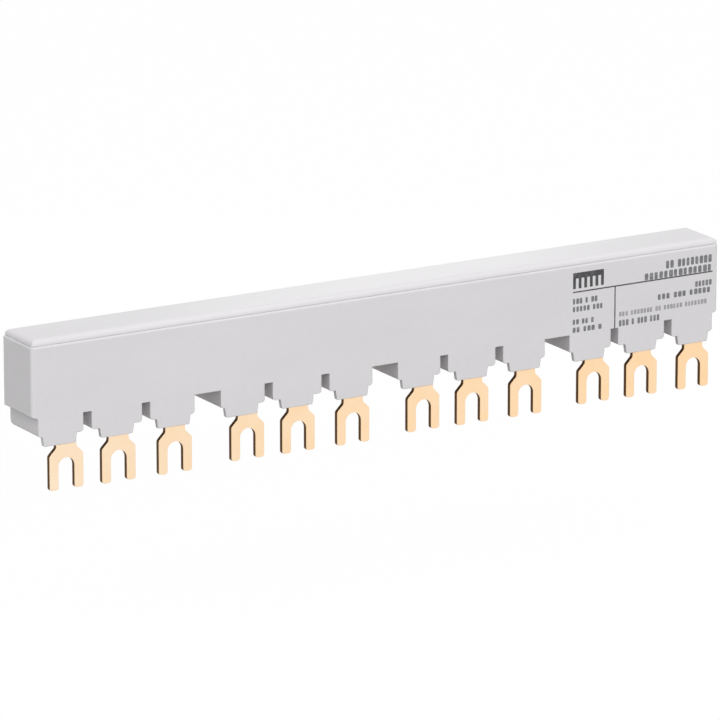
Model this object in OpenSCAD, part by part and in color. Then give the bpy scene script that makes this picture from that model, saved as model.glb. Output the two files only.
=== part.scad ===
// Three-phase comb busbar for a row of motor starters. Three copper combs stand one behind
// the other in an insulating housing, and each sends one fork down to every starter.
// Frame: X along the row, the front face towards -Y, +Z up, and the lowest fork tips at z = 0.

/* [Row] */
// Distance between neighbouring starters
device_pitch = 45; // [42:0.5:60]
// Number of starters that the busbar feeds
devices = 4; // [2:1:5]
// Distance between neighbouring poles of one starter
pole_pitch = 14; // [13.8:0.1:14.3]

/* [Forks] */
// Thickness of the copper strip
copper_t = 1.05; // [0.8:0.05:1.3]
// Width over both legs of a fork
fork_w = 8.25; // [7.8:0.05:8.6]
// Width of the slot for the terminal screw
slot_w = 3.9; // [3.4:0.1:4.4]
// Height of the slot's round end above the leg tips
slot_depth = 7.1; // [6:0.1:7.4]
// Height of the full-width part of a fork above its tips
leg_h = 7.7; // [7:0.1:8]
// Width of the shank above the shoulders
shank_w = 4.9; // [4.4:0.1:5.2]
// Corner radius at the leg tips
tip_r = 0.65; // [0.3:0.05:1]
// Radius of the two bends of each shoulder
shoulder_r = 0.9; // [0.4:0.1:1.2]
// Length of fork that shows below the aprons
fork_out = 10.9; // [10.4:0.1:13]

/* [Combs] */
// Height of the copper strip that joins the forks of one phase
bar_h = 12.8; // [8:0.1:12.9]
// Sideways place of the rear comb in the housing
rear_shift = 2.1; // [0:0.05:2.3]
// Sideways place of the middle comb
middle_shift = 0.95; // [0:0.05:2.3]
// Sideways place of the front comb
front_shift = 0.95; // [0:0.05:1.7]
// Height of the rear comb's seats above the trough's floor
rear_lift = 0.4; // [0:0.05:0.45]
// Height of the middle comb's seats
middle_lift = 0.15; // [0:0.05:0.45]
// Inner radius of the two bends that bring a tongue forward
bend_r = 0.8; // [0.5:0.1:1]

/* [Housing] */
// Depth from front face to back face
body_d = 12.8; // [12.4:0.1:16]
// Wall thickness
wall = 1; // [0.8:0.05:1.2]
// Height of the trough from its underside to its rim
trough_h = 16.05; // [15.95:0.05:20]
// Overhang of the trough past the outer necks
end_over = 1.5; // [1:0.1:3]
// Rise of the overhang's slanting underside
end_rise = 0.55; // [0.2:0.05:1.5]
// Radius of the two upright corners in front
front_corner_r = 0.8; // [0.2:0.05:1.4]
// Radius of the two upright corners at the back
back_corner_r = 0.2; // [0.1:0.05:1.4]
// Radius of the trough's upright corners inside
cavity_r = 0.3; // [0.1:0.05:0.3]
// Radius along the rim
rim_r = 0.5; // [0.1:0.05:0.5]

/* [Necks] */
// Height of the necks under the trough
neck_h = 4.15; // [4.1:0.05:6]
// Width of the three necks of one starter, measured over all
group_w = 38.4; // [38:0.1:39.6]
// Distance of the slots between the necks from the middle pole
notch_x = 7.2; // [7:0.05:7.4]
// Width of those slots
notch_w = 2.05; // [1.6:0.05:2.4]
// Radius of a neck's lower side edges
neck_r = 0.7; // [0.3:0.1:1]
// Radius of a neck's lower back edge
neck_back_r = 1.6; // [0.5:0.1:2]
// Height of the apron in front of each fork
apron_h = 2.2; // [1:0.1:3]
// Width of an apron at its root
apron_w = 8.4; // [7:0.1:9]
// Width that an apron loses on each side down to its lower edge
apron_taper = 0.35; // [0:0.05:0.8]
// Radius of an apron's lower corners
apron_r = 0.3; // [0.1:0.05:0.6]
// Depth of the slit through which a fork leaves its neck
slit_d = 1.5; // [1.45:0.05:2]

/* [Cover] */
// Inset of the cover's faces from the housing's faces
cover_inset = 0.25; // [0.1:0.05:0.6]
// Height of the cover above the rim
crown_h = 1.45; // [1.4:0.05:3]
// Radius along the cover's top edges
crown_r = 1.25; // [0.8:0.05:1.35]
// Radius of the cover's upright corners
cover_corner_r = 0.3; // [0.1:0.05:1]
// Thickness of the cover's top
cover_t = 1.2; // [1:0.1:1.4]
// Depth of the skirt that locates the cover inside the trough
skirt_h = 1.3; // [1:0.05:1.35]
// Thickness of the skirt
skirt_t = 0.9; // [0.6:0.1:1.2]
// Radius of the snap beads on the skirt
bead_r = 0.3; // [0.15:0.05:0.35]
// Length of one snap bead
bead_l = 12; // [6:1:16]
// Thickness of the ribs that keep the combs down
hold_t = 1; // [0.6:0.1:2]

/* [Separators] */
// Thickness of a separator's web
web_t = 0.9; // [0.6:0.1:1.4]
// Height of a separator
web_h = 13; // [10:0.1:13.1]
// Thickness of the spacing ribs on a separator
spacer_t = 1; // [0.6:0.1:2]
// Distance between spacing ribs
spacer_pitch = 15; // [10:1:30]

/* [Fits] */
// Play between a comb or a separator and what it lies beside
play = 0.1; // [0.05:0.01:0.12]

/* [Hidden] */
$fn = 48;
eps = 0.01;
// How far a cut runs past what it cuts, and how far fused parts reach into each other
lap = 1;

// The lanes in which the combs stand, counted from the back
REAR = 0;
MIDDLE = REAR + 1;
FRONT = MIDDLE + 1;

shell_color = [0.83, 0.83, 0.84];
web_color = [0.92, 0.91, 0.88];
copper_color = [0.93, 0.72, 0.5];

// Levels, from the fork tips up
apron_z = fork_out;
neck_z = apron_z + apron_h;
roof_z = neck_z + neck_h;
floor_z = roof_z + wall;
rim_z = roof_z + trough_h;
top_z = rim_z + crown_h;

// The row
row_l = (devices - 1) * device_pitch + group_w;
body_l = row_l + 2 * end_over;
neck_x = [[-group_w / 2, -notch_x - notch_w / 2],
          [-notch_x + notch_w / 2, notch_x - notch_w / 2],
          [notch_x + notch_w / 2, group_w / 2]];
function device_x(g) = (g - (devices - 1) / 2) * device_pitch;
function pole_x(g, k) = device_x(g) + (k - 1) * pole_pitch;

// Depths
y_front = -body_d / 2;
y_back = body_d / 2;
fork_y = y_front + wall + play;
lane_step = (body_d - 2 * wall - 2 * play - copper_t) / 2;
function comb_y(k) = fork_y + (FRONT - k) * lane_step;
cavity_l = body_l - 2 * wall;
cavity_d = body_d - 2 * wall;

// The combs are of one length, which leaves the one that lies furthest aside its play
comb_shift = [rear_shift, middle_shift, front_shift];
comb_lift = [rear_lift, middle_lift, 0];
bar_l = cavity_l - 2 * (max(comb_shift) + play);

// The bends of a tongue: its level run lies just above the neck's floor
bend_c = bend_r + copper_t / 2;
shelf_z = neck_z + wall + 2 * play + bend_c;

// The snap beads lie at the middle of the skirt, one over the middle neck of each starter
bead_z = rim_z - skirt_h / 2;

// ---- helpers -------------------------------------------------------------------------------

// A centred rectangle with round corners, which may differ in front and at the back
module round_rect(l, d, front_r, back_r) {
    translate([-l / 2, front_r - d / 2]) square([l, d - front_r - back_r]);
    for (end = [[-1, front_r], [1, back_r]]) {
        r = end[1];
        translate([0, end[0] * (d - r - eps) / 2]) square([l - 2 * r, r + eps], center = true);
        for (sx = [-1, 1])
            translate([sx * (l / 2 - r), end[0] * (d / 2 - r)]) circle(r);
    }
}

// A rectangle standing on z = 0 whose two upper corners are round
module crown_profile(w, h, r) {
    translate([-w / 2, 0]) square([w, h - r]);
    translate([r - w / 2, 0]) square([w - 2 * r, h]);
    for (s = [-1, 1]) translate([s * (w / 2 - r), h - r]) circle(r);
}

// A slab with round upright corners, whose round top edges meet in mitres
module soft_slab(l, d, h, front_r, back_r, edge) {
    intersection() {
        linear_extrude(h) round_rect(l, d, front_r, back_r);
        along_x(-l / 2 - lap, l + 2 * lap) crown_profile(d, h, edge);
        along_y(-d / 2 - lap, d + 2 * lap) crown_profile(l, h, edge);
    }
}

// Extrudes a profile drawn in x and z from y0 over a depth
module along_y(y0, depth) {
    translate([0, y0 + depth, 0]) rotate([90, 0, 0]) linear_extrude(depth) children();
}

// Extrudes a profile drawn in y and z from x0 over a length
module along_x(x0, length) {
    translate([x0, 0, 0]) rotate([90, 0, 90]) linear_extrude(length) children();
}

// A rectangle standing on z = 0 whose two lower corners are round
module foot_profile(x0, x1, h, r) {
    translate([x0, r]) square([x1 - x0, h - r]);
    translate([x0 + r, 0]) square([x1 - x0 - 2 * r, r + eps]);
    for (x = [x0 + r, x1 - r]) translate([x, r]) circle(r);
}

// A quarter of a ring, from the angle a0 on
module quarter_ring(r, t, a0) {
    rotate(a0) difference() {
        intersection() {
            circle(r + t / 2);
            square(r + t);
        }
        circle(r - t / 2);
    }
}

// Corners given as [x, y, radius] become an outline whose corners are arcs of short chords
function unit(v) = v / norm(v);
function corner_arc(before, corner, after, r) =
    let (u = unit(before - corner), v = unit(after - corner), half = acos(u * v) / 2,
         centre = corner + unit(u + v) * r / sin(half),
         first = corner + u * r / tan(half) - centre, last = corner + v * r / tan(half) - centre,
         a0 = atan2(first.y, first.x),
         sweep = (atan2(last.y, last.x) - a0 + 540) % 360 - 180,
         n = ceil(abs(sweep) / 9))
    [for (i = [0:n]) centre + r * [cos(a0 + sweep * i / n), sin(a0 + sweep * i / n)]];
function xy(p) = [p.x, p.y];
function rounded(corners) =
    let (n = len(corners))
    [for (i = [0:n - 1]) let (c = corners[i])
        each c[2] > 0
            ? corner_arc(xy(corners[(i + n - 1) % n]), xy(c), xy(corners[(i + 1) % n]), c[2])
            : [xy(c)]];

// ---- copper --------------------------------------------------------------------------------

// Front outline of a fork, from its tips at z = 0 up to the top of its shank
module fork_profile(top) {
    slot_z = slot_depth - slot_w / 2;
    shoulder = (fork_w - shank_w) / 2;
    for (s = [0, 1]) mirror([s, 0]) foot_profile(slot_w / 2, fork_w / 2, slot_z + eps, tip_r);
    difference() {
        polygon(rounded([[-fork_w / 2, slot_z, 0], [fork_w / 2, slot_z, 0],
                         [fork_w / 2, leg_h, shoulder_r],
                         [shank_w / 2, leg_h + shoulder, shoulder_r],
                         [shank_w / 2, top, 0], [-shank_w / 2, top, 0],
                         [-shank_w / 2, leg_h + shoulder, shoulder_r],
                         [-fork_w / 2, leg_h, shoulder_r]]));
        translate([0, slot_z]) circle(d = slot_w);
    }
}

// Side outline of a tongue that steps forward from its comb to the plane of the forks
module tongue_profile(k) {
    t = copper_t;
    y_fork = fork_y + t / 2;
    y_comb = comb_y(k) + t / 2;
    translate([y_fork - t / 2, shelf_z - bend_c - lap]) square([t, lap + eps]);
    translate([y_fork + bend_c, shelf_z - bend_c]) quarter_ring(bend_c, t, 90);
    translate([y_fork + bend_c - eps, shelf_z - t / 2])
        square([y_comb - y_fork - 2 * bend_c + 2 * eps, t]);
    translate([y_comb - bend_c, shelf_z + bend_c]) quarter_ring(bend_c, t, -90);
    translate([y_comb - t / 2, shelf_z + bend_c - eps]) square([t, floor_z - shelf_z - bend_c + lap]);
}

// One phase: a strip on edge with one forked tongue for every starter
module comb_bar(k) {
    color(copper_color) translate([comb_shift[k], 0, comb_lift[k]]) {
        translate([0, 0, floor_z + bar_h / 2])
            along_y(comb_y(k), copper_t) round_rect(bar_l, bar_h, tip_r, tip_r);
        for (g = [0:devices - 1]) translate([pole_x(g, k), 0, 0]) {
            along_y(fork_y, copper_t)
                fork_profile(k == FRONT ? floor_z + lap : shelf_z - bend_c);
            if (k != FRONT) along_x(-shank_w / 2, shank_w) tongue_profile(k);
        }
    }
}

module comb_bar_rear() comb_bar(REAR);
module comb_bar_middle() comb_bar(MIDDLE);
module comb_bar_front() comb_bar(FRONT);

// ---- housing -------------------------------------------------------------------------------

// The trough's outside, with underside ends that slant up past the outer necks
module trough() {
    difference() {
        translate([0, 0, roof_z])
            soft_slab(body_l, body_d, trough_h, front_corner_r, back_corner_r, rim_r);
        for (s = [0, 1]) mirror([s, 0, 0])
            along_y(y_front - lap, body_d + 2 * lap)
                polygon([[row_l / 2, roof_z], [body_l / 2, roof_z + end_rise],
                         [body_l / 2 + lap, roof_z + end_rise],
                         [body_l / 2 + lap, roof_z - lap], [row_l / 2, roof_z - lap]]);
    }
}

// Side outline of all necks: square in front, round at the lower back edge
module neck_side() {
    translate([y_front, neck_z + neck_back_r]) square([body_d, neck_h + wall / 2 - neck_back_r]);
    translate([y_front, neck_z]) square([body_d - neck_back_r, neck_back_r + eps]);
    translate([y_back - neck_back_r, neck_z + neck_back_r]) circle(neck_back_r);
}

// The outsides of the necks, three under every starter's place
module necks() {
    intersection() {
        along_y(y_front, body_d)
            for (g = [0:devices - 1], x = neck_x)
                translate([device_x(g), neck_z])
                    foot_profile(x[0], x[1], neck_h + wall / 2, neck_r);
        along_x(-row_l / 2 - lap, row_l + 2 * lap) neck_side();
    }
}

// The insulating aprons that hang in front of the shanks
module aprons() {
    half = apron_w / 2;
    low = half - apron_taper;
    along_y(y_front, wall)
        for (g = [0:devices - 1], k = [REAR, MIDDLE, FRONT])
            translate([pole_x(g, k), apron_z])
                polygon(rounded([[-low, 0, apron_r], [low, 0, apron_r], [half, apron_h, 0],
                                 [half, apron_h + wall, 0], [-half, apron_h + wall, 0],
                                 [-half, apron_h, 0]]));
}

// The hollow of every neck and the slit in its floor
module neck_hollows() {
    for (g = [0:devices - 1], x = neck_x)
        translate([device_x(g) + x[0] + wall, y_front + wall, 0]) {
            width = x[1] - x[0] - 2 * wall;
            translate([0, 0, neck_z + wall]) cube([width, cavity_d, neck_h]);
            translate([0, 0, neck_z - lap]) cube([width, slit_d, wall + 2 * lap]);
        }
}

// A run of snap beads, or of the grooves that take them, along both long sides
module beads(r, l) {
    for (g = [0:devices - 1], s = [-1, 1])
        translate([device_x(g), s * (cavity_d / 2 - play), bead_z])
            rotate([0, 90, 0]) cylinder(r = r, h = l, center = true);
}

// Seats on the trough's floor, between the necks, that set a comb's height
module seats() {
    for (k = [REAR, MIDDLE], g = [0:devices - 1], s = [-1, 1])
        if (comb_lift[k] > 0)
            translate([device_x(g) + s * notch_x - notch_w / 2, comb_y(k), floor_z - eps])
                cube([notch_w, copper_t, comb_lift[k] + eps]);
}

module housing() {
    color(shell_color) {
        difference() {
            union() {
                trough();
                necks();
                aprons();
            }
            translate([0, 0, floor_z])
                linear_extrude(trough_h) round_rect(cavity_l, cavity_d, cavity_r, cavity_r);
            neck_hollows();
            beads(bead_r + play, bead_l + 2 * play);
        }
        seats();
    }
}

// ---- cover ---------------------------------------------------------------------------------

module cover() {
    skirt_l = cavity_l - 2 * play;
    skirt_d = cavity_d - 2 * play;
    hold_z = floor_z + max(comb_lift) + bar_h + play;
    color(shell_color) {
        difference() {
            union() {
                translate([0, 0, rim_z])
                    soft_slab(body_l - 2 * cover_inset, body_d - 2 * cover_inset, crown_h,
                              cover_corner_r, cover_corner_r, crown_r);
                translate([0, 0, rim_z - skirt_h])
                    linear_extrude(skirt_h + eps)
                        round_rect(skirt_l, skirt_d, cavity_r, cavity_r);
                beads(bead_r, bead_l);
            }
            translate([0, 0, rim_z - skirt_h - lap])
                linear_extrude(lap + skirt_h + crown_h - cover_t)
                    square([skirt_l - 2 * skirt_t, skirt_d - 2 * skirt_t], center = true);
        }
        for (g = [0:devices - 1])
            translate([device_x(g) - hold_t / 2, -skirt_d / 2 + skirt_t / 2, hold_z])
                cube([hold_t, skirt_d - skirt_t, top_z - cover_t / 2 - hold_z]);
    }
}

// ---- separators ----------------------------------------------------------------------------

// An insulating web between comb k and the comb in front of it, with ribs that space them
module separator(k) {
    length = cavity_l - 2 * play;
    y0 = comb_y(k + 1) + copper_t + play;
    y1 = comb_y(k) - play;
    ribs = floor((length - spacer_t) / spacer_pitch);
    color(web_color) translate([0, 0, floor_z]) linear_extrude(web_h) {
        translate([-length / 2, (y0 + y1 - web_t) / 2]) square([length, web_t]);
        for (i = [0:ribs])
            translate([(i - ribs / 2) * spacer_pitch - spacer_t / 2, y0])
                square([spacer_t, y1 - y0]);
    }
}

module separator_rear() separator(REAR);
module separator_front() separator(MIDDLE);

// ---- nodes ---------------------------------------------------------------------------------

housing();
cover();
comb_bar_rear();
comb_bar_middle();
comb_bar_front();
separator_rear();
separator_front();
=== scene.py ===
# %% [markdown]
# # A comb busbar for a row of motor starters
# A comb busbar feeds several motor starters from one line. Three copper combs stand one behind
# the other in a pale moulded housing, and each sends a fork down to every starter. The solids come
# from the part's source, at their real size. This lesson gives them their finishes, adds the
# printed marks, and sets up the camera and a plain white studio.

import math
import random

import bpy
from mathutils import Matrix, Vector


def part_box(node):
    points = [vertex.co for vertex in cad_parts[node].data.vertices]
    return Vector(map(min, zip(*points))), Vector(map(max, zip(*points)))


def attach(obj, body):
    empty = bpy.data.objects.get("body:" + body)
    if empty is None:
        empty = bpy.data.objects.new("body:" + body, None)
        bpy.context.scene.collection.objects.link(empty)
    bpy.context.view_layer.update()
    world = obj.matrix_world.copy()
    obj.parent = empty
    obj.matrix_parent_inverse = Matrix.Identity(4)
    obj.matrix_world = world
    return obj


MM = 0.001  # the scene is in metres, and sizes below are given in millimetres

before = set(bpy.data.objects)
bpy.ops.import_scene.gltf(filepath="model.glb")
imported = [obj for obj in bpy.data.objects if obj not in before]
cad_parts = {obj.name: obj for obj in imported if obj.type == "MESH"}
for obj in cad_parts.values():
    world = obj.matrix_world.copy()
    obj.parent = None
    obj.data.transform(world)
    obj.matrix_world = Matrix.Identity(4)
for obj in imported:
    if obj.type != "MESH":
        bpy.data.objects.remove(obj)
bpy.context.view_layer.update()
shell_low, shell_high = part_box("housing")
FRONT = shell_low.y
print("solids:", ", ".join(sorted(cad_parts)))

# %% [markdown]
# ## The camera
# A long bar looks calm from far away through a long lens, because its edges then hardly converge.
# The camera stands 31 degrees to the left of the front and 15 degrees above the bar, so the front,
# the top and the left end all show. Its place comes from the point it looks at, two angles and a
# distance, which is easier to read than three coordinates.

# %% Camera
LOOK_AT = Vector((-1.715, 1.6, 16.681)) * MM
TO_THE_LEFT = math.radians(30.783)
ABOVE = math.radians(15.317)
CAMERA_DISTANCE = 1424.967 * MM
SENSOR = 36.0
LENS = 321.34   # a long lens, in millimetres like the sensor


def place_camera(target, left, above, distance):
    """A camera that looks at target, turned to the left of the front and raised above it."""
    level = math.cos(above)
    away = Vector((-math.sin(left) * level, -math.cos(left) * level, math.sin(above)))
    data = bpy.data.cameras.new("camera")
    data.lens = LENS
    data.sensor_width = SENSOR
    camera = bpy.data.objects.new("camera", data)
    bpy.context.scene.collection.objects.link(camera)
    camera.location = target + away * distance
    camera.rotation_euler = (-away).to_track_quat("-Z", "Y").to_euler()
    bpy.context.scene.camera = camera
    return camera


camera = place_camera(LOOK_AT, TO_THE_LEFT, ABOVE, CAMERA_DISTANCE)
print("camera at", [round(v / MM) for v in camera.location], "mm")

# %% [markdown]
# ## Writing shader maths
# A finish is a small calculation that runs at every point of a surface. Node by node it is hard to
# read, so two helpers are used. `Sock` holds the output of a node, and ordinary signs such as
# `1 - mask` add the Math node that they stand for. `Nodes.add` makes any other node from its type,
# its settings and its inputs.

# %% Shader helpers
class Sock:
    """The output of a shader node, which Python's own signs can calculate with."""

    def __init__(self, nodes, socket):
        self.nodes = nodes
        self.socket = socket

    def math(self, operation, first, second=None):
        values = [first] if second is None else [first, second]
        return self.nodes.add("Math", {"operation": operation}, dict(enumerate(values)))

    def __add__(self, other):
        return self.math("ADD", self, other)

    def __radd__(self, other):
        return self.math("ADD", other, self)

    def __sub__(self, other):
        return self.math("SUBTRACT", self, other)

    def __rsub__(self, other):
        return self.math("SUBTRACT", other, self)

    def __mul__(self, other):
        return self.math("MULTIPLY", self, other)

    def __rmul__(self, other):
        return self.math("MULTIPLY", other, self)

    def __pow__(self, other):
        return self.math("POWER", self, other)

    def __abs__(self):
        return self.math("ABSOLUTE", self)

    def most(self, other):
        return self.math("MAXIMUM", self, other)


class Nodes:
    """Adds nodes to one node tree."""

    def __init__(self, tree):
        self.tree = tree

    def add(self, kind, settings=None, inputs=None, out=0):
        node = self.tree.nodes.new("ShaderNode" + kind)
        for name, value in (settings or {}).items():
            if name == "stops":
                self.set_stops(node.color_ramp, value)
            else:
                setattr(node, name, value)
        for name, value in (inputs or {}).items():
            if isinstance(value, Sock):
                self.tree.links.new(value.socket, node.inputs[name])
            else:
                node.inputs[name].default_value = value
        return Sock(self, node.outputs[out])

    def set_stops(self, ramp, stops):
        """Gives a ramp its (position, brightness) stops."""
        while len(ramp.elements) < len(stops):
            ramp.elements.new(0.5)
        for element, (position, value) in zip(ramp.elements, stops):
            element.position = position
            element.color = (value, value, value, 1)

    def place(self):
        """The Object coordinates, which are the row's own coordinates in metres."""
        return self.add("TexCoord", out="Object")

    def axes(self, vector):
        """The x, y and z of a vector."""
        split = self.add("SeparateXYZ", inputs={"Vector": vector})
        outputs = split.socket.node.outputs
        return [Sock(self, outputs[axis]) for axis in range(3)]

    def noise(self, grain, detail=2.0, stretch=(1, 1, 1), rough=0.5):
        """Noise whose lumps are about grain millimetres across, stretched along the axes."""
        scale = [1 / (grain * MM * s) for s in stretch]
        spot = self.add("Mapping", {"vector_type": "POINT"},
                        {"Vector": self.place(), "Scale": scale})
        return self.add("TexNoise", {}, {"Vector": spot, "Scale": 1.0,
                                         "Detail": detail, "Roughness": rough})

    def ramp(self, value, *stops):
        """A value carried over to the brightness that its (position, brightness) stops give."""
        return self.add("ValToRGB", {"stops": stops}, {"Fac": value})

    def mix(self, mask, low, high):
        """The colour low where mask is 0, and high where it is 1."""
        return self.add("Mix", {"data_type": "RGBA"}, {0: mask, 6: low, 7: high}, out=2)

    def light_path(self, *kinds):
        """1 for rays of any of these kinds, such as Is Camera Ray."""
        path = self.add("LightPath")
        found = [Sock(self, path.socket.node.outputs[kind]) for kind in kinds]
        total = found[0]
        for other in found[1:]:
            total = total.most(other)
        return total


def rgb(red, green, blue):
    """A colour written as it is seen, from 0 to 255, as the linear one that shaders use."""
    def linear(value):
        value /= 255
        return value / 12.92 if value <= 0.04045 else ((value + 0.055) / 1.055) ** 2.4
    return (linear(red), linear(green), linear(blue), 1)


def new_finish(name, roughness, metallic=0.0, **constants):
    """A material with its nodes and its shader, whose other constants are set on the shader."""
    material = bpy.data.materials.new(name)
    material.use_nodes = True
    shader = material.node_tree.nodes["Principled BSDF"]
    shader.inputs["Roughness"].default_value = roughness
    shader.inputs["Metallic"].default_value = metallic
    for socket, value in constants.items():
        shader.inputs[socket.replace("_", " ")].default_value = value
    return material, Nodes(material.node_tree), shader


def drive(nodes, shader, **signals):
    """Links signals to the shader's sockets, such as Base_Color=colour."""
    for socket, signal in signals.items():
        nodes.tree.links.new(signal.socket, shader.inputs[socket.replace("_", " ")])


print("shader helpers ready")

# %% [markdown]
# ## The studio
# The bar is shown as a catalogue piece: a white surround, soft light from everywhere, and one large
# soft lamp in front. A weak one on the left keeps the left end only a little darker than the
# front. A small one close behind the bar glances off the top and brightens its middle. The
# background has to be pure white, but strong light would wash out the pale housing. So the surround
# is white only for rays that come from the camera, or that a glossy surface sends on, and it lights
# the bar at a lower level. The floor does the same, and sends little light up, which leaves the
# slots dark. It lies a little under the forks, because the bar is held by its forks and can't stand.

# %% Studio
SURROUND_LIGHT = 0.8
FLOOR_DROP = 30 * MM
FLOOR_SIZE = 6.0
FLOOR_WHITE = 0.95   # the plain white share of the floor's look, which no shadow darkens
FLOOR_SEEN = (1, 1, 1, 1)
FLOOR_BOUNCE = (0.15, 0.15, 0.15, 1)
SHOWN_RAYS = ("Is Camera Ray", "Is Glossy Ray", "Is Transmission Ray")

# Each lamp: its place and its side in metres, and its power in watts
LAMPS = {
    "front_lamp": (Vector((-0.35, -1.70, 0.60)), 1.0, 16.4),
    "left_lamp": (Vector((-1.50, 0.05, 0.20)), 0.8, 1.9),
    "sheen_lamp": (Vector((0.15, 0.24, 0.10)), 0.10, 0.040),
}


def light_surround(strength):
    """The world: white to the eye and in reflections, and softer as a light."""
    world = bpy.data.worlds.new("studio")
    bpy.context.scene.world = world
    world.use_nodes = True
    nodes = Nodes(world.node_tree)
    seen = nodes.light_path(*SHOWN_RAYS)
    background = world.node_tree.nodes["Background"]
    background.inputs["Color"].default_value = (1, 1, 1, 1)
    level = seen * (1 - strength) + strength
    world.node_tree.links.new(level.socket, background.inputs["Strength"])


def lay_floor(height, size):
    """A wide floor that stays white and keeps a faint shadow."""
    bpy.ops.object.select_all(action="DESELECT")
    bpy.ops.mesh.primitive_plane_add(size=size, location=(0, 0, height))
    bpy.ops.object.transform_apply(location=True)
    floor = bpy.context.object
    floor.name = "floor"
    material = bpy.data.materials.new("white_floor")
    material.use_nodes = True
    tree = material.node_tree
    tree.nodes.clear()
    nodes = Nodes(tree)
    seen = nodes.light_path(*SHOWN_RAYS)
    paper = nodes.add("BsdfDiffuse", inputs={"Color": nodes.mix(seen, FLOOR_BOUNCE, FLOOR_SEEN)})
    white = nodes.add("Emission", inputs={"Color": (1, 1, 1, 1), "Strength": 1.0})
    both = nodes.add("MixShader", inputs={0: seen * FLOOR_WHITE, 1: paper, 2: white})
    output = tree.nodes.new("ShaderNodeOutputMaterial")
    tree.links.new(both.socket, output.inputs["Surface"])
    floor.data.materials.append(material)
    return floor


def hang_lamp(name, place, size, power):
    """A square soft lamp that faces the bar and isn't seen itself."""
    data = bpy.data.lights.new(name, "AREA")
    data.shape = "SQUARE"
    data.size = size
    data.energy = power
    lamp = bpy.data.objects.new(name, data)
    bpy.context.scene.collection.objects.link(lamp)
    lamp.location = place
    lamp.rotation_euler = (-place).to_track_quat("-Z", "Y").to_euler()
    lamp.visible_camera = False
    return lamp


light_surround(SURROUND_LIGHT)
floor = lay_floor(-FLOOR_DROP, FLOOR_SIZE)
for lamp_name, (place, side, power) in LAMPS.items():
    hang_lamp(lamp_name, place, side, power)
bpy.context.scene.view_settings.view_transform = "Standard"
print("studio: world,", floor.name, "and", ", ".join(LAMPS))

# %% [markdown]
# ## Moulded plastic
# The housing and its cover are moulded from a pale grey engineering plastic. Such a part is never
# one flat colour: the mould is spark-eroded, which leaves a very fine grain, the colour drifts a
# little where the melt flowed, and tiny specks of pigment show close up. Sharp edges are really
# about a tenth of a millimetre round and catch a thin light line, which the Bevel node gives.

# %% Plastic finish
EDGE_SOFTNESS = 0.25 * MM
BEVEL_SAMPLES = 4
SHELL_TONE = rgb(224, 222, 224)
COVER_TONE = rgb(225, 223, 225)
SPECK_TONE = rgb(150, 150, 152)
SPECK_SHARE = 0.12   # how much of the speck's own tone shows in a speck
DARKER = 0.90        # the ends of the drift, as shares of the plastic's colour
PALER = 1.05


def plastic_finish(name, colour, grain, drift):
    """Satin moulded plastic: fine mould grain, drifting colour, pigment specks and soft edges."""
    material, nodes, shader = new_finish(name, roughness=0.42, Specular_IOR_Level=0.4)
    flow = nodes.noise(9, detail=3, stretch=(3, 1, 1))
    mottle = nodes.noise(1.6, detail=2)
    wander = (flow - 0.5) * drift + (mottle - 0.5) * (drift * 0.5)
    speck = nodes.ramp(nodes.noise(0.35, detail=1), (0.70, 0), (0.78, 1))
    dark = tuple(c * DARKER for c in colour[:3]) + (1,)
    pale = tuple(min(c * PALER, 1) for c in colour[:3]) + (1,)
    toned = nodes.mix(wander + 0.5, dark, pale)
    speckled = nodes.mix(speck * SPECK_SHARE, toned, SPECK_TONE)
    texture = nodes.noise(grain, detail=2, rough=0.6)
    edge = nodes.add("Bevel", {"samples": BEVEL_SAMPLES}, {"Radius": EDGE_SOFTNESS})
    bump = nodes.add("Bump", {}, {"Strength": 0.25, "Distance": 0.02 * MM,
                                  "Height": texture, "Normal": edge})
    drive(nodes, shader, Base_Color=speckled, Roughness=0.36 + texture * 0.14, Normal=bump)
    return material


def dress(node, material):
    """Gives a CAD node its finish."""
    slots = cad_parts[node].data.materials
    slots.clear()
    slots.append(material)


shell_plastic = plastic_finish("shell_plastic", SHELL_TONE, grain=0.22, drift=0.5)
cover_plastic = plastic_finish("cover_plastic", COVER_TONE, grain=0.30, drift=0.4)
dress("housing", shell_plastic)
dress("cover", cover_plastic)
print("plastic on housing and cover")

# %% [markdown]
# ## Copper
# The combs are punched from half-hard copper strip. The rolled faces are bright and satin, with
# faint lines along the rolling direction, and are painted paler and brighter at the left end of the
# row and darker and more orange at the right, which is painted light and shade along the bar. The
# punched edges are another matter: the punch leaves a narrow burnished band and then a torn zone,
# and the finish paints a cut edge dark brown beside the face, partly for its rougher surface and
# partly as painted shade. The finish tells the two apart by the direction that the surface faces.

# %% Copper finish
# painted light and shade: the face tone is paler and brighter at the left end, darker and more
# orange at the right
PAINTED_LIT_FACE_TONE = rgb(255, 232, 203)   # at the left end of the row
PAINTED_SHADED_FACE_TONE = rgb(254, 216, 170)   # at the right end
# the cut edges' colour: partly the punched edge's own rougher surface, partly painted shade
EDGE_AND_SHADE_TONE = rgb(104, 71, 35)
TORN_EDGE_AND_SHADE_TONE = rgb(78, 51, 21)
COPPER_SOFTNESS = 0.08 * MM


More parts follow.
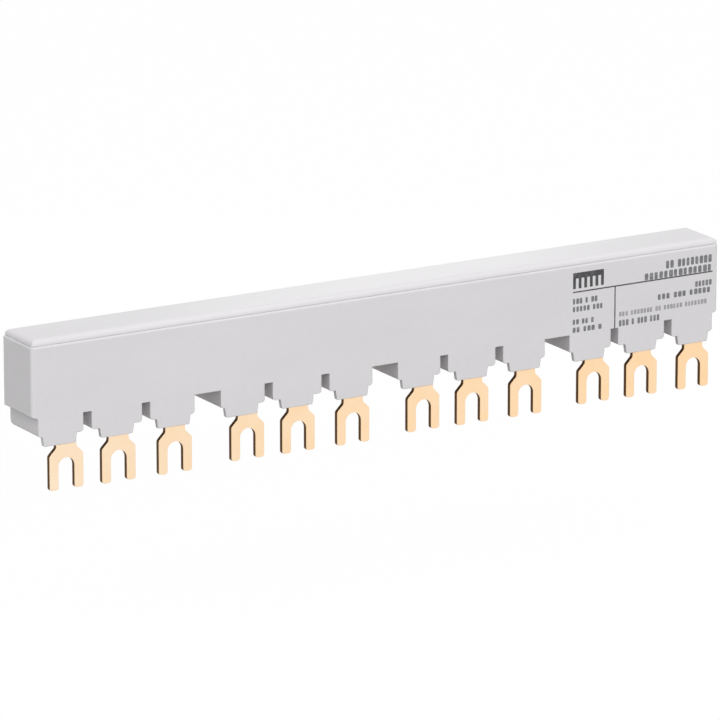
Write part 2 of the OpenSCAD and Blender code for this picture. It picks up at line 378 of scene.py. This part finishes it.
def copper_finish(name):
    """Rolled copper faces with painted light and shade along the row, and punched edges painted
    dark, partly as painted shade.
    """
    material, nodes, shader = new_finish(name, roughness=0.34, metallic=1.0)
    x = nodes.axes(nodes.place())[0]
    facing_y = nodes.axes(nodes.add("NewGeometry", out="Normal"))[1]
    # faces that face neither front nor back, the cut edges, are painted dark: partly their own
    # surface, partly painted shade
    cut_edge_and_shade = nodes.ramp(abs(facing_y), (0.35, 1), (0.75, 0))
    lines = nodes.noise(0.10, detail=3, stretch=(60, 1, 1))
    clouds = nodes.noise(5, detail=2)
    # painted light and shade: brighter towards the left end of the row, darker towards the right,
    # mixed with random clouds and rolling lines
    painted_shade_along_x = (x * (0.5 / shell_high.x) + 0.5).most(0) ** 0.5
    painted_shade_and_tone = painted_shade_along_x * 0.9 + (clouds - 0.5) * 0.7 + (lines - 0.5) * 0.6
    face = nodes.mix(nodes.ramp(painted_shade_and_tone, (0, 0), (1, 1)), PAINTED_LIT_FACE_TONE, PAINTED_SHADED_FACE_TONE)
    torn = nodes.ramp(nodes.noise(0.18, detail=3, stretch=(1, 3, 1)), (0.4, 0), (0.6, 1))
    # the edge colour, with its painted shade
    edge = nodes.mix(torn, EDGE_AND_SHADE_TONE, TORN_EDGE_AND_SHADE_TONE)
    colour = nodes.mix(cut_edge_and_shade, face, edge)
    rough = 0.30 + lines * 0.10 + cut_edge_and_shade * 0.22
    relief = lines * 0.4 + torn * cut_edge_and_shade
    soft = nodes.add("Bevel", {"samples": BEVEL_SAMPLES}, {"Radius": COPPER_SOFTNESS})
    bump = nodes.add("Bump", {}, {"Strength": 0.3, "Distance": 0.01 * MM,
                                  "Height": relief, "Normal": soft})
    drive(nodes, shader, Base_Color=colour, Roughness=rough, Normal=bump)
    return material


copper = copper_finish("rolled_copper")
for comb in ("comb_bar_rear", "comb_bar_middle", "comb_bar_front"):
    dress(comb, copper)
print("copper on three combs")

# %% [markdown]
# ## Separators
# The two ribbed strips between the combs are out of sight. They are moulded from natural, slightly
# milky plastic, and get the same kind of finish as the shell in a warmer tone.

# %% Separator finish
MILKY_TONE = rgb(232, 229, 220)

separator_plastic = plastic_finish("separator_plastic", MILKY_TONE, grain=0.3, drift=0.5)
for strip in ("separator_rear", "separator_front"):
    dress(strip, separator_plastic)
print("plastic on two separators")

# %% [markdown]
# ## The printed field
# The front carries a printed field at its right end: one long line and one upright line divide it,
# and rows of small type fill the parts. A real bar would name its maker there. Here the field is
# generic, so each row is a row of plain rounded blocks with the width of letters, and a small sign
# in the corner shows the bar itself: a strip with teeth. Ink is a film with a real thickness, so
# each mark is a thin plate that sinks a little into the housing, and not a picture on it.

# %% Ink marks
INK_PROUD = 0.02 * MM
INK_SUNK = 0.02 * MM
CORNER_STEPS = 3


def select_edges(piece, wanted):
    """Leaves a piece in edit mode with the edges selected whose two ends wanted accepts."""
    bpy.ops.object.mode_set(mode="EDIT")
    bpy.ops.mesh.select_mode(type="EDGE")
    bpy.ops.mesh.select_all(action="DESELECT")
    bpy.ops.object.mode_set(mode="OBJECT")
    corners = piece.data.vertices
    for edge in piece.data.edges:
        first, second = edge.vertices
        edge.select = wanted(corners[first].co, corners[second].co)
    bpy.ops.object.mode_set(mode="EDIT")


def ink_plate(left, foot, width, height, corner):
    """A thin plate with round corners on the front, from its lower left corner."""
    depth = INK_PROUD + INK_SUNK
    middle = (left + width / 2, FRONT + depth / 2 - INK_PROUD, foot + height / 2)
    bpy.ops.object.select_all(action="DESELECT")
    bpy.ops.mesh.primitive_cube_add(size=1, location=middle, scale=(width, depth, height))
    plate = bpy.context.object
    bpy.ops.object.transform_apply(location=True, rotation=True, scale=True)
    select_edges(plate, lambda first, second: abs(first.y - second.y) > depth / 2)
    bpy.ops.mesh.bevel(offset=corner, segments=CORNER_STEPS, affect="EDGES")
    bpy.ops.object.mode_set(mode="OBJECT")
    return plate


def copy_to(pattern, left, foot, wide=1.0, tall=1.0):
    """A copy of a plate with its own mesh, stretched and then moved along the front."""
    plate = pattern.copy()
    plate.data = pattern.data.copy()
    bpy.context.scene.collection.objects.link(plate)
    stretch = Matrix.Diagonal((wide, 1, tall, 1))
    plate.data.transform(Matrix.Translation((left, 0, foot)) @ stretch)
    return plate


def print_as(name, plates, ink):
    """Joins plates to one printed piece of one ink."""
    bpy.ops.object.select_all(action="DESELECT")
    for plate in plates:
        plate.select_set(True)
    bpy.context.view_layer.objects.active = plates[0]
    bpy.ops.object.join()
    piece = bpy.context.object
    piece.name = name
    piece.data.materials.clear()
    piece.data.materials.append(ink)
    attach(piece, "root")
    return piece


print("ink marks are", round((INK_PROUD + INK_SUNK) / MM, 3), "mm thick")

# %% [markdown]
# ## Laying out the field
# The field's places are measured from the housing: its right end and the foot of its front. Rows
# are set in the way that a printer sets them, from an edge, with a height and the number of letters
# in each word. The letters' widths vary a little, by a random draw that is the same in every run.

# %% Lines and rows
FIELD_RIGHT = shell_high.x - 1.5 * MM
FIELD_LEFT = FIELD_RIGHT - 37.6 * MM
FIELD_DIVIDER = FIELD_LEFT + 11.1 * MM
FIELD_LINE = shell_high.z - 6.35 * MM
FIELD_FOOT = FIELD_LINE - 9.7 * MM
LINE_WIDTH = 0.3 * MM
LINE_CORNER = 0.05 * MM
RIGHT_CELL = FIELD_DIVIDER + 1.3 * MM
SPACE = 0.7                   # the gap between words, as a share of a letter's step
LETTER_WIDTHS = (0.62, 0.82)  # the narrowest and the widest block, as shares of that step
LETTER_CORNER = 0.22 * MM     # on a block of one millimetre, before it is stretched

# Each row: where it starts and ends, its foot above the field's foot, its height, its words' letters
TOP_ROWS = (
    (FIELD_RIGHT - 12.7 * MM, FIELD_RIGHT, 12.10 * MM, 1.8 * MM, (2, 8)),
    (FIELD_RIGHT - 18.4 * MM, FIELD_RIGHT, 10.05 * MM, 1.6 * MM, (14,)),
)
LEFT_ROWS = (
    (FIELD_LEFT, FIELD_LEFT + 6.7 * MM, 7.05 * MM, 1.3 * MM, (3, 1, 2)),
    (FIELD_LEFT, FIELD_LEFT + 8.2 * MM, 5.25 * MM, 1.2 * MM, (5, 3)),
    (FIELD_LEFT, FIELD_LEFT + 5.8 * MM, 2.30 * MM, 1.2 * MM, (2, 2, 1)),
    (FIELD_LEFT, FIELD_LEFT + 7.9 * MM, 0.45 * MM, 1.2 * MM, (2, 3, 1)),
)
RIGHT_ROWS = (
    (FIELD_RIGHT - 4.7 * MM, FIELD_RIGHT, 6.75 * MM, 1.3 * MM, (5,)),
    (FIELD_RIGHT - 14.8 * MM, FIELD_RIGHT - 0.3 * MM, 5.05 * MM, 1.3 * MM, (3, 3, 5)),
    (RIGHT_CELL, RIGHT_CELL + 11.1 * MM, 0.30 * MM, 1.4 * MM, (3, 1, 3, 3)),
)
FAINT_ROWS = (
    (RIGHT_CELL, RIGHT_CELL + 23.8 * MM, 2.55 * MM, 1.1 * MM, (3, 7, 2, 6, 7)),
)

letter_block = ink_plate(0, 0, 1 * MM, 1 * MM, LETTER_CORNER)
draws = random.Random(12)


def print_row(start, end, foot, height, words):
    """One row of blocks from start to end, a block for each letter."""
    letters = sum(words)
    step = (end - start) / (letters + SPACE * (len(words) - 1))
    left = start
    row = []
    for word in words:
        for _ in range(word):
            width = step * draws.uniform(*LETTER_WIDTHS)
            row.append(copy_to(letter_block, left, FIELD_FOOT + foot, width / MM, height / MM))
            left += step
        left += step * SPACE
    return row


rules = [
    ink_plate(FIELD_LEFT, FIELD_LINE, FIELD_RIGHT - FIELD_LEFT, LINE_WIDTH, LINE_CORNER),
    ink_plate(FIELD_DIVIDER, FIELD_FOOT, LINE_WIDTH, FIELD_LINE - FIELD_FOOT, LINE_CORNER),
]
DARK_ROWS = TOP_ROWS + LEFT_ROWS + RIGHT_ROWS
dark_blocks = [block for row in DARK_ROWS for block in print_row(*row)]
faint_blocks = [block for row in FAINT_ROWS for block in print_row(*row)]
bpy.data.objects.remove(letter_block)
print(len(dark_blocks), "dark blocks in", len(DARK_ROWS), "rows")
print(len(faint_blocks), "faint blocks in", len(FAINT_ROWS), "row")

# %% [markdown]
# The sign is cut from one sheet. A flat grid as high as the strip has one column for each tooth and
# each gap, and the lower edges of the tooth columns are extruded down. Dissolving the inner edges
# leaves one outline, whose corners can then be rounded, and Solidify gives the ink its thickness.

# %% Sign of the bar
SIGN_SIZE = (8.2 * MM, 3.7 * MM)
SIGN_FOOT = FIELD_LINE + 0.9 * MM
SIGN_STRIP = 1.3 * MM
SIGN_CORNER = 0.12 * MM
TEETH = 6


def comb_sign():
    """A strip with teeth below it, as a film of ink."""
    columns = 2 * TEETH - 1
    column = SIGN_SIZE[0] / columns
    strip_foot = SIGN_FOOT + SIGN_SIZE[1] - SIGN_STRIP
    bpy.ops.object.select_all(action="DESELECT")
    bpy.ops.mesh.primitive_grid_add(x_subdivisions=columns, y_subdivisions=1, size=1,
                                    location=(FIELD_LEFT + SIGN_SIZE[0] / 2, FRONT - INK_PROUD,
                                              strip_foot + SIGN_STRIP / 2),
                                    rotation=(math.pi / 2, 0, 0))
    sign = bpy.context.object
    sign.scale = (SIGN_SIZE[0], SIGN_STRIP, 1)
    bpy.ops.object.transform_apply(location=True, rotation=True, scale=True)

    def is_tooth_root(first, second):
        middle = (first.x + second.x) / 2 - FIELD_LEFT
        is_low = max(first.z, second.z) < strip_foot + SIGN_STRIP / 2
        return is_low and int(middle / column) % 2 == 0

    select_edges(sign, is_tooth_root)
    bpy.ops.mesh.extrude_region_move(
        TRANSFORM_OT_translate={"value": (0, 0, SIGN_STRIP - SIGN_SIZE[1])})
    bpy.ops.mesh.select_all(action="SELECT")
    bpy.ops.mesh.dissolve_limited()
    bpy.ops.mesh.bevel(offset=SIGN_CORNER, segments=CORNER_STEPS, affect="VERTICES")
    bpy.ops.object.mode_set(mode="OBJECT")
    solidify = sign.modifiers.new("film", "SOLIDIFY")
    solidify.thickness = INK_PROUD + INK_SUNK
    solidify.offset = -1
    bpy.ops.object.modifier_apply(modifier=solidify.name)
    return sign


sign = comb_sign()
print("a sign with", TEETH, "teeth and", len(sign.data.polygons), "faces")

# %% [markdown]
# Pad-printed ink is never quite even. It thins where the pad touched lightly, so the shell shows
# through a little in places. A noise at the scale of a letter mixes the shell's colour in. The type
# is a lighter grey than the lines, because strokes fill only about half of a letter's block.

# %% Ink
def ink_finish(name, tone, thin):
    """Matt ink in which thin is how much of the shell's colour shows at the weakest places."""
    material, nodes, shader = new_finish(name, roughness=0.55, Specular_IOR_Level=0.3)
    weak = nodes.ramp(nodes.noise(0.9, detail=3), (0.45, 0), (0.75, 1))
    colour = nodes.mix(weak * thin, tone, SHELL_TONE)
    film = nodes.noise(0.15, detail=2)
    bump = nodes.add("Bump", {}, {"Strength": 0.15, "Distance": 0.005 * MM,
                                  "Height": film})
    drive(nodes, shader, Base_Color=colour, Roughness=0.5 + film * 0.12, Normal=bump)
    return material


line_ink = ink_finish("line_ink", rgb(72, 71, 73), 0.10)
type_ink = ink_finish("type_ink", rgb(120, 119, 121), 0.20)
faint_ink = ink_finish("faint_ink", rgb(158, 157, 159), 0.30)
prints = (
    ("printed_lines", rules, line_ink),
    ("printed_sign", [sign], line_ink),
    ("printed_type", dark_blocks, type_ink),
    ("printed_faint_row", faint_blocks, faint_ink),
)
for name, plates, ink in prints:
    piece = print_as(name, plates, ink)
    print(name, len(piece.data.polygons), "faces")
